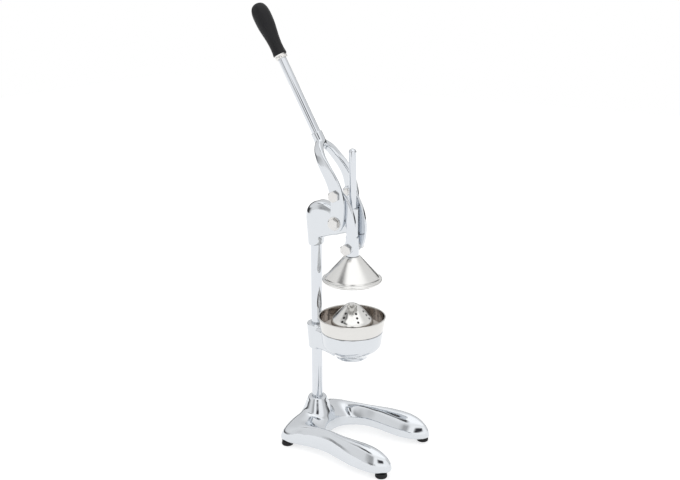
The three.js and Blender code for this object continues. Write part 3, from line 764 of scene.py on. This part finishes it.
def rubber_foot(node):
    """Low black foot with a rolled lower edge and a shallow waist."""
    centre = box_centre(node)
    x = (centre.x - POST_X) / MM
    y = (centre.y - POST_Y) / MM
    profile = [
        (0, 0.25),
        (5.8, 0.25),
        (6.4, 0),
        (9.4, 0, 0.8),
        (10.3, 1.3, 0.8),
        (10.2, 4.2, 0.8),
        (9.5, 5.2, 0.5),
        (9.8, 7.98),
        (0, 8),
    ]
    points, faces = lathe(rounded(profile, 0.4), 64)
    points = [(p[0] + x, p[1] + y, p[2]) for p in points]
    obj = new_object(node.replace("foot", "rubber_foot"), points, faces)
    finish_piece(obj, "stand", RUBBER_BLACK, [node])


for end in ("rear", "front"):
    for hand in ("left", "right"):
        rubber_foot(f"foot_{end}_{hand}")

# ---- Post ---------------------------------------------------------------------------------
turned(
    "post_bar",
    [(0, 30), (POST_R, 30), (POST_R, 427, 1.2), (0, 427)],
    "stand",
    BAR_CHROME,
    ["post"],
    soften=0.6,
)

# ---- Bowl holder --------------------------------------------------------------------------
RING_TOP_Z = 215.5


def bowl_holder():
    dish = lathe(
        rounded(
            [
                (0, 165.5),
                (26, 165.5, 1.2),
                (28.6, 167.5, 2),
                (31.5, 173, 4),
                (38, 178.5, 4),
                (46.5, 184, 5),
                (50.6, 190, 5),
                (51.6, 198, 4),
                (53.4, RING_TOP_Z - 1),
                (52.6, RING_TOP_Z, 0.4),
                (0, RING_TOP_Z),
            ],
            0.8,
            5,
        ),
        128,
        PLUNGER_Y,
    )
    collar_profile = [(0, 168.4), (13.4, 168.4), (14.4, 169.6), (17.5, 212.6), (16.4, 214.6), (0, 214.6)]
    collar = lathe(rounded(collar_profile, 0.8), 96)
    stations = smooth(
        [
            (3, 14.4, 171, 212),
            (-6, 16.4, 169.5, 212.5),
            (-18, 18, 168.5, 212),
            (-34, 22, 167, 207),
            (-48, 25, 166.5, 190),
        ],
        32,
    )
    neck = loft(
        [
            superellipse((0, y, (low + high) / 2), (1, 0, 0), (0, 0, 1), half, (high - low) / 2, 4, 48)
            for y, half, low, high in stations
        ]
    )
    obj = fused("bowl_holder_skin", [dish, collar, neck], 0.8)

    def near_neck(p):
        along = np.clip((-p[:, 1] - 8) / 8, 0, 1) * np.clip((p[:, 1] + 46) / 10, 0, 1)
        return along * np.clip((212 - p[:, 2]) / 5, 0, 1)

    relax(obj, 4)
    relax(obj, 40, near_neck, keep_volume=False)
    relax(obj, 4)
    seat = lathe(
        [
            (0, 150),
            (20, 150),
            (20, 175),
            (36, 181),
            (44, 185.5),
            (47.6, 191),
            (48.8, 200),
            (49.4, RING_TOP_Z + 1),
            (0, RING_TOP_Z + 1),
        ],
        128,
        PLUNGER_Y,
    )
    carve(obj, seat, cylinder(POST_R + CLEARANCE, 160, 230, 96))
    obj.name = "holder_casting"
    finish_piece(obj, "stand", CAST_CHROME, ["bowl_holder"], 50)


bowl_holder()

# ---- Bowl ---------------------------------------------------------------------------------
RIM_R, RIM_Z = 58.1, 240.6


def arc(r, z, radius, start, end, steps):
    return [
        (r + radius * math.cos(math.radians(a)), z + radius * math.sin(math.radians(a)))
        for a in np.linspace(start, end, steps + 1)
    ]


def juice_bowl():
    outside = rounded(
        [
            (10, 168),
            (10, 181, 1),
            (43.5, 190, 3),
            (46.5, 195, 3),
            (48, RING_TOP_Z + 0.5, 0.5),
            (53.2, RING_TOP_Z + 0.5, 0.7),
            (54.1, 217.5, 0.7),
            (RIM_R - 0.7, 237.2),
        ],
        0.5,
        4,
    )
    lip = arc(RIM_R - 1.3, RIM_Z - 1.25, 1.25, -40, 215, 12)
    inside = rounded(
        [
            (RIM_R - 2.3, 237.6),
            (52.6, 219, 1.2),
            (51.9, 217.6, 0.4),
            (46.4, 217.6, 0.6),
            (45, 195.6, 3),
            (42.6, 191.6, 2.5),
            (8.4, 182.4, 1),
            (8.4, 168),
        ],
        0.5,
        4,
    )
    obj = new_object("bowl_shell", *lathe(outside + lip + inside, 160, PLUNGER_Y))
    finish_piece(obj, "stand", BOWL_STEEL, ["juice_bowl"], 50)


juice_bowl()

# ---- Reamer -------------------------------------------------------------------------------
def valley(angle):
    return ((1 + math.cos(REAMER_LOBES * (angle - REAMER_PHASE))) / 2) ** 2


def turned_about_plunger(shape, radius, z, tilt, azimuth):
    """Puts a tool made along +Z at a radius and height, tilted outwards and turned round the reamer."""
    points, faces = shape
    moved = []
    for x, y, h in points:
        u = radius + x * math.cos(tilt) + h * math.sin(tilt)
        w = z - x * math.sin(tilt) + h * math.cos(tilt)
        moved.append(
            (
                u * math.cos(azimuth) - y * math.sin(azimuth),
                PLUNGER_Y + u * math.sin(azimuth) + y * math.cos(azimuth),
                w,
            )
        )
    return moved, turned_outwards(moved, faces)


def reamer():
    crest = [
        (36.8, 219.6, 0),
        (36.5, 224, 0),
        (36.4, 228, 0.1),
        (35.9, 233, 0.3),
        (33.8, 236.8, 0.45),
        (27.6, 243.4, 0.5),
        (20.8, 250.8, 0.45),
        (14.2, 257.6, 0.25),
        (10.8, 260.6, 0),
        (8, 261.7, 0),
        (0, 262.3, 0),
    ]
    fine = smooth(crest, 60)
    fine[-1] = (0, 262.3, 0)
    outside = [(51.6, 218.1, 0), (51.6, 219.6, 0)] + [tuple(v) for v in fine]
    inner_wall = [(max(r - 1.1, 0.5), z - 0.9, depth) for r, z, depth in fine[-2:4:-3]]
    inside = [(0, 261.1, 0)] + inner_wall + [(35.4, 218.1, 0)]
    shape = lathe(outside + inside, 28 * REAMER_LOBES, PLUNGER_Y, valley)
    obj = new_object("reamer_shell", *shape)
    for lobe in range(REAMER_LOBES):
        azimuth = REAMER_PHASE + TURN * lobe / REAMER_LOBES
        holes = [
            turned_about_plunger(cylinder(HOLE_R, -5, 5, 20), r, z, math.pi / 4, azimuth)
            for r, z in REAMER_HOLES
        ]
        holes.append(turned_about_plunger(cylinder(2.2, -3, 3, 24), 42, 219, 0, azimuth))
        carve(obj, *holes)
    for hole in range(PINHOLES):
        azimuth = REAMER_PHASE + TURN * hole / PINHOLES
        carve(obj, turned_about_plunger(cylinder(PINHOLE_R, -3, 3, 16), PINHOLES_R, 261, 0, azimuth))
    finish_piece(obj, "stand", REAMER_STEEL, ["reamer"], 35)


reamer()

# ---- Head casting -------------------------------------------------------------------------
GUIDE_R, GUIDE_LOW, GUIDE_HIGH = 10, 381.6, 430.3
ROD_R, ROD_TOP_Z = 6.3, 530
BOLT_R = 4
BOLT_HOLE_R = BOLT_R + CLEARANCE
HEX = 17
ARM_INNER_X, ARM_THICKNESS = 19.5, 7.7


def head_casting():
    collar = lathe(
        rounded(
            [
                (0, 356.7),
                (12.6, 356.7),
                (13.6, 358.2),
                (15.2, 380, 6),
                (17.4, 412, 4),
                (15.6, 420.5, 4),
                (10, 428, 3),
                (5, 432, 2),
                (0, 434),
            ],
            0.8,
            5,
        ),
        96,
    )
    stations = smooth(
        [
            (9, 14.2, 382, 424),
            (0, 16.4, 372, 432.5),
            (-10, 15.6, 371.5, 436.5),
            (-20, 13.8, 373.5, 436),
            (-32, 12.2, 377.5, 431.5),
            (-44, 11.5, 381, 424.5),
            (-56, 10.5, 385, 420),
            (-66, 8, 388, 417),
            (-72, 6, 389, 416),
        ],
        60,
    )
    tongue = loft(
        [
            superellipse((0, y, (low + high) / 2), (1, 0, 0), (0, 0, 1), half, (high - low) / 2, 5, 56)
            for y, half, low, high in stations
        ]
    )
    boss = along_x(cylinder(10.5, -ARM_INNER_X + 0.4, ARM_INNER_X - 0.4, 64), 1, PIVOT_Y, PIVOT_Z)
    guide_profile = [(0, GUIDE_LOW), (GUIDE_R, GUIDE_LOW), (GUIDE_R, GUIDE_HIGH), (0, GUIDE_HIGH)]
    guide = lathe(rounded(guide_profile, 0.8), 64, PLUNGER_Y)
    obj = fused("head_casting_skin", [collar, tongue, boss, guide], 0.8)

    def blends(p):
        back = np.clip((-p[:, 1] - 2) / 6, 0, 1) * np.clip((p[:, 1] + 44) / 8, 0, 1)
        top = np.clip((p[:, 2] - 402) / 8, 0, 1) * np.clip((p[:, 1] + 44) / 8, 0, 1)
        return np.maximum(back, top)

    relax(obj, 4)
    relax(obj, 110, blends, keep_volume=False)
    relax(obj, 4)
    carve(
        obj,
        cylinder(POST_R + CLEARANCE, 350, 427.3, 96),
        cylinder(ROD_R + CLEARANCE, 370, 440, 64, PLUNGER_Y),
        along_x(cylinder(BOLT_HOLE_R, -30, 30), 1, PIVOT_Y, PIVOT_Z),
    )
    obj.name = "head_block"
    finish_piece(obj, "stand", CAST_CHROME, ["head_casting"], 50)


head_casting()

# ---- Lever --------------------------------------------------------------------------------
# One arm of the fork: path x, y, z, width along the swing, thickness across it, and how much
# narrower its inner face is than its outer face.
ARM_STATIONS = [
    (0, -10.6, 532.5, 13, 14, 0),
    (8, -12.6, 530.5, 14.5, 13, 0.1),
    (16, -17.8, 523.2, 17.5, 12, 0.25),
    (21.4, -26.2, 511, 20, 11, 0.35),
    (24, -36.4, 497.4, 22.5, 10, 0.4),
    (24.6, -46, 483, 24.5, 9, 0.35),
    (24, -53, 467, 25.5, 8.2, 0.2),
    (23.35, -56.8, 450, 25.8, 7.7, 0),
    (23.35, -58.2, 434, 26, 7.7, 0),
    (23.35, -57.4, 419, 26, 7.7, 0),
    (23.35, -55.8, 406, 25, 7.7, 0),
    (23.35, -55, 399, 21.5, 7.7, 0),
    (23.35, -54.4, 395.6, 13.5, 7.7, 0),
    (23.35, -54.2, 394.4, 7, 7.7, 0),
]


def fork_arm(side):
    steps = 90
    rows = smooth(ARM_STATIONS, steps)
    path = rows[:, :3] * np.array([side, 1, 1])
    tangents = np.gradient(path, axis=0)
    rings = []
    for centre, tangent, (width, thickness, slant) in zip(path, tangents, rows[:, 3:]):
        tangent = tangent * np.array([0.5, 1, 1])
        tangent /= np.linalg.norm(tangent)
        across = np.array([1.0, 0, 0]) - tangent[0] * tangent
        across /= np.linalg.norm(across)
        wide = np.cross(tangent, across)
        ring = superellipse(centre, across, wide, thickness / 2, width / 2, 4.2, 40)
        offset = ring - centre
        inwards = 0.5 - side * (offset @ across) / thickness
        ring = ring - np.outer(slant * inwards * (offset @ wide), wide)
        rings.append(ring)
    return loft(rings)


def box(x, y, z):
    """Points and faces of a box from pairs of limits."""
    points = [(i, j, k) for k in z for j in y for i in x]
    faces = [(0, 2, 3, 1), (4, 5, 7, 6), (0, 1, 5, 4), (2, 6, 7, 3), (0, 4, 6, 2), (1, 3, 7, 5)]
    return points, turned_outwards(points, faces)


def lever_fork():
    socket = on_lever(
        lathe(rounded([(0, -9), (7, -7, 3), (9.2, -1, 3), (9.4, 3), (9.4, 18.4), (0, 18.4)], 0.8), 64)
    )
    obj = fused("lever_fork_skin", [fork_arm(-1), fork_arm(1), socket], 0.7)

    def shoulder(p):
        return np.clip((p[:, 2] - 505) / 10, 0, 1) * np.clip((544 - p[:, 2]) / 6, 0, 1)

    relax(obj, 4)
    relax(obj, 25, shoulder, keep_volume=False)
    relax(obj, 4)
    outer = ARM_INNER_X + ARM_THICKNESS
    carve(
        obj,
        box((-ARM_INNER_X, ARM_INNER_X), (-120, 0), (369.5, 474.5)),
        box((outer, outer + 20), (-120, 0), (380, 466)),
        box((-outer - 20, -outer), (-120, 0), (380, 466)),
        on_lever(cylinder(7.5, 3.7, 20, 64)),
        along_x(cylinder(BOLT_HOLE_R, -40, 40), 1, PIVOT_Y, PIVOT_Z),
        along_x(cylinder(BOLT_HOLE_R, -40, 40), 1, PIVOT_Y, FORK_BOLT_Z),
    )
    obj.name = "fork_casting"
    finish_piece(obj, "lever", CAST_CHROME, ["lever_fork"], 50)


lever_fork()

turned(
    "lever_bar",
    [(0, 4), (7.2, 4), (7.2, 176), (0, 176)],
    "lever",
    BAR_CHROME,
    ["lever_tube"],
    wrap=on_lever,
    soften=0.5,
)
turned(
    "ferrule",
    [
        (7.5, 153),
        (9.4, 153),
        (10.2, 154),
        (10.2, 156.8),
        (9.6, 157.4),
        (11, 159.7),
        (7.5, 159.7),
        (7.5, 153.01),
    ],
    "lever",
    FERRULE_STEEL,
    ["grip_ferrule"],
    wrap=on_lever,
    soften=0.35,
)


def grip():
    """Moulded grip on the tube's end, hollow where the tube goes in."""
    bore, tube_end, tip = 7.5, 176.5, (0, 253.6)
    bulb = [
        (11.6, 160.7),
        (11.5, 162.5),
        (11.1, 165.5),
        (10.8, 169),
        (10.7, 178),
        (11.6, 190),
        (13.3, 202),
        (14.8, 214),
        (15.4, 226),
        (15.1, 236),
        (13.6, 243.5),
        (10.4, 249.5),
        (5.6, 252.7),
        tip,
    ]
    skin = [(max(r, 0), z) for r, z in smooth(bulb, 70)[:-1]] + [tip]
    profile = [(bore, 160), (10.9, 160)] + skin + [(0, tube_end), (bore, tube_end)]
    turned("grip_handle", profile, "lever", GRIP_BLACK, ["grip"], wrap=on_lever, sharp=60)


grip()


# ---- Hex hardware -------------------------------------------------------------------------
def hex_head(flats, low, high, bore=0.0):
    """Hexagon along +Z with turned chamfers and a washer face at its low end."""
    segments = 72
    apothem = flats / 2
    chamfer = apothem * 0.95
    points, faces = [], []

    def corner(angle):
        part = (angle % (TURN / 6)) - TURN / 12
        return apothem / math.cos(part)

    def row(radius_of, height_of):
        start = len(points)
        for j in range(segments):
            angle = TURN * j / segments
            r = radius_of(angle)
            points.append((r * math.cos(angle), r * math.sin(angle), height_of(r)))
        return start

    slope = math.tan(math.radians(30))
    rows = [
        row(lambda a: chamfer, lambda r: low),
        row(lambda a: chamfer, lambda r: low + 0.35),
        row(corner, lambda r: low + 0.35 + max(0.0, r - chamfer) * 0.25),
        row(corner, lambda r: high - max(0.0, r - chamfer) * slope),
        row(lambda a: chamfer, lambda r: high),
    ]
    if bore:
        rows.append(row(lambda a: bore + 0.5, lambda r: high))
        rows.append(row(lambda a: bore, lambda r: high - 0.5))
        rows.append(row(lambda a: bore, lambda r: low))
    else:
        dome = 0.25
        rows.append(row(lambda a: chamfer * 0.62, lambda r: high + dome * 0.2))
        rows.append(row(lambda a: chamfer * 0.30, lambda r: high + dome * 0.4))
    for a, b in zip(rows, rows[1:] + (rows[:1] if bore else [])):
        for j in range(segments):
            k = (j + 1) % segments
            faces.append((a + j, a + k, b + k, b + j))
    if not bore:
        faces.append(tuple(rows[-1] + j for j in range(segments)))
        faces.append(tuple(reversed([rows[0] + j for j in range(segments)])))
    return points, turned_outwards(points, faces)


def thread_end(r, low, high, pitch=1.2):
    """Bolt shank whose outer part shows rings of thread, with a chamfered tip."""
    profile = [(0, low), (r, low)]
    z = high - 8
    while z + pitch < high - 0.6:
        profile += [(r - 0.05, z), (r - 0.5, z + pitch / 2)]
        z += pitch
    profile += [(r - 0.05, high - 0.7), (r - 0.8, high), (0, high)]
    return lathe(profile, 48)


def hardware(name, shapes, body, nodes, sharp=28):
    finish_piece(new_object(name, *joined(*shapes)), body, NICKEL, nodes, sharp)


def washer(inner, outer, low, high):
    return lathe(
        [
            (inner, low),
            (outer - 0.3, low),
            (outer, low + 0.3),
            (outer, high - 0.3),
            (outer - 0.3, high),
            (inner + 0.2, high),
            (inner, high - 0.2),
        ],
        64,
    )


def at_pivot(shape, side):
    return along_x(shape, side, PIVOT_Y, PIVOT_Z)


def at_fork_bolt(shape, side):
    return along_x(shape, side, PIVOT_Y, FORK_BOLT_Z)


def at_cross(shape, side):
    return along_x(shape, side, PLUNGER_Y, CROSS_Z)


hardware(
    "pivot_bolt_hex",
    [at_pivot(hex_head(HEX, 29.2, 34), -1), at_pivot(thread_end(BOLT_R, -28.5, 33.4), 1)],
    "stand",
    ["pivot_bolt"],
)
hardware("pivot_nut_hex", [at_pivot(hex_head(HEX, 29.2, 34, BOLT_HOLE_R), 1)], "stand", ["pivot_nut"])
hardware(
    "cross_bolt_hex",
    [at_cross(hex_head(HEX, 19.5, 24.6), -1), at_cross(thread_end(BOLT_R, -19, 24), 1)],
    "plunger",
    ["cross_bolt"],
)
hardware("cross_nut_hex", [at_cross(hex_head(HEX, 19.5, 24.6, BOLT_HOLE_R), 1)], "plunger", ["cross_nut"])
for hand, side in (("left", -1), ("right", 1)):
    hardware(
        f"fork_bolt_hex_{hand}",
        [
            at_fork_bolt(hex_head(HEX, 27.5, 32.4), side),
            at_fork_bolt(cylinder(BOLT_R, ARM_INNER_X + CLEARANCE, 28), side),
        ],
        "lever",
        [f"fork_bolt_{hand}"],
    )
    hardware(
        f"pivot_washer_ring_{hand}",
        [at_pivot(washer(BOLT_HOLE_R, 11.4, 27.5, 28.9), side)],
        "stand",
        [f"pivot_washer_{hand}"],
    )
    hardware(
        f"hub_washer_ring_{hand}",
        [at_cross(washer(BOLT_HOLE_R, 7.5, 11.5, 12.9), side)],
        "plunger",
        [f"hub_washer_{hand}"],
    )
    hardware(
        f"link_pin_head_{hand}",
        [
            at_fork_bolt(cylinder(BOLT_R, 12, 19.2), side),
            at_fork_bolt(
                lathe([(0, 10.6), (4.6, 10.6), (5.9, 10.9), (6.4, 11.6), (6.4, 12.9), (0, 12.9)], 64), side
            ),
        ],
        "links",
        [f"link_pin_{hand}"],
    )
for node, z in (("holder_set_screw", 196), ("head_set_screw", 392)):
    outline = [(0, 17.4), (4.8, 17.4), (4.8, 18.8, 0.8), (3.4, 20, 0.8), (2.2, 20), (2.2, 18.9), (0, 18.9)]
    head = rounded(outline, 0.3)
    hardware(
        f"{node}_button",
        [
            along_x(cylinder(3, POST_R + CLEARANCE, 18), 1, 0, z),
            along_x(lathe(head, 48), 1, 0, z),
        ],
        "stand",
        [node],
    )
hardware("post_washer_ring", [washer(BOLT_HOLE_R, 12, 18.9, 20.7)], "stand", ["post_washer"])

# ---- Plunger ------------------------------------------------------------------------------
turned(
    "plunger_bar",
    [(0, 372), (ROD_R, 372)] + arc(ROD_R - 5.5, ROD_TOP_Z - 5.5, 5.5, 0, 90, 10)[:-1] + [(0, ROD_TOP_Z)],
    "plunger",
    BAR_CHROME,
    ["plunger_rod"],
    y=PLUNGER_Y,
)


def plunger_hub():
    hub_r, low, high, socket_floor = 11.2, 348.3, 381.2, 371.7
    bore = ROD_R + CLEARANCE
    outside = [(0, low), (hub_r, low), (hub_r, high, 1.4)]
    profile = outside + [(bore, high), (bore, socket_floor), (0, socket_floor)]
    obj = new_object("hub_block", *lathe(rounded(profile, 0.7), 96, PLUNGER_Y))
    carve(obj, at_cross(cylinder(BOLT_HOLE_R, -20, 20), 1))
    finish_piece(obj, "plunger", BAR_CHROME, ["plunger_hub"], 40)


plunger_hub()


def press_cone():
    inside = [(2.8, 348), (2.8, 346.4), (11.8, 346.4), (13.2, 345.2), (43.2, 313), (44.6, 309.5)]
    rolled_rim = arc(48, 306.5, 3, 195, 480, 20)
    outside = [(45.9, 309.9), (45.5, 312.1, 0.4), (14.6, 346.4, 1.6), (12.4, 348, 0.8), (2.9, 348)]
    profile = rounded(inside, 0.8, 4) + rolled_rim + rounded(outside, 0.8, 5)
    obj = new_object("cone_shell", *lathe(profile, 144, PLUNGER_Y))
    finish_piece(obj, "plunger", CONE_STEEL, ["press_cone"], 50)


press_cone()


def hanging_screw(shank, head, y=0.0):
    """Screw with its head downwards: the head is made below zero, and mirrored up to its place."""
    points, faces = joined(shank, head)
    points = [(px, py + y, abs(pz)) for px, py, pz in points]
    return points, turned_outwards(points, faces)


points, faces = washer(2.8, 8, 344.6, 346.1)
points = [(x, y + PLUNGER_Y, z) for x, y, z in points]
hardware("cone_washer_ring", [(points, faces)], "plunger", ["cone_washer"])
screw = hanging_screw(cylinder(2.5, 343, 357.3), hex_head(8, -344.3, -340.8), PLUNGER_Y)
hardware("cone_screw_hex", [screw], "plunger", ["cone_screw"])


# ---- Links --------------------------------------------------------------------------------
def link(hand, side):
    """Flat curved bar with rounded edges and an eye at each end."""
    foot = np.array([PLUNGER_Y, CROSS_Z])
    top = np.array([PIVOT_Y, FORK_BOLT_Z])
    along = (top - foot) / np.linalg.norm(top - foot)
    forwards = np.array([-along[1], along[0]])
    t = np.linspace(0.012, 0.988, 60)
    bulge = 16.5 * np.sin(math.pi * t) ** 0.6
    line = foot + np.outer(t, top - foot) + np.outer(bulge, forwards)
    step = np.gradient(line, axis=0)
    step /= np.linalg.norm(step, axis=1, keepdims=True)
    normal = np.stack([-step[:, 1], step[:, 0]], axis=1)
    inner = 13.2
    shapes = []
    edge = 1.3
    rims = [(0, edge), (0.35, 0.4), (edge, 0), (6 - edge, 0), (5.65, 0.4), (6, edge)]
    rings = []
    for x, inset in rims:
        half = 17.5 / 2 - inset
        outline = np.concatenate([line + normal * half, (line - normal * half)[::-1]])
        rings.append([(side * (inner + x), y, z) for y, z in outline])
    shapes.append(strip_solid(rings))
    for centre in (foot, top):
        profile = [(0, inner)] + [(9.2 - inset, inner + x) for x, inset in rims] + [(0, inner + 6)]
        shapes.append(along_x(lathe(profile, 72), side, *centre))
    obj = fused(f"link_{hand}_skin", shapes, 0.55)
    relax(obj, 5)
    for centre in (foot, top):
        carve(obj, along_x(cylinder(BOLT_HOLE_R, 10, 22), side, *centre))
    obj.name = f"link_bar_{hand}"
    finish_piece(obj, "links", BAR_CHROME, [f"link_{hand}"], 50)


def strip_solid(rings):
    """Closed solid from rings round a long strip: its two flat faces are filled as a ladder."""
    rings = np.asarray(rings, float)
    count, n = rings.shape[:2]
    points = list(rings.reshape(-1, 3))
    faces = between_rings(count, n)
    for start, flip in ((0, True), ((count - 1) * n, False)):
        for j in range(n // 2 - 1):
            quad = (start + j, start + j + 1, start + n - 2 - j, start + n - 1 - j)
            faces.append(tuple(reversed(quad)) if flip else quad)
    return points, turned_outwards(points, faces)


for hand, side in (("left", -1), ("right", 1)):
    link(hand, side)

# ---- Hidden bolt under the foot -----------------------------------------------------------
post_bolt = hanging_screw(cylinder(BOLT_R, 18, 48), hex_head(13, -18.6, -12))
hardware("post_bolt_hex", [post_bolt], "stand", ["post_bolt"])
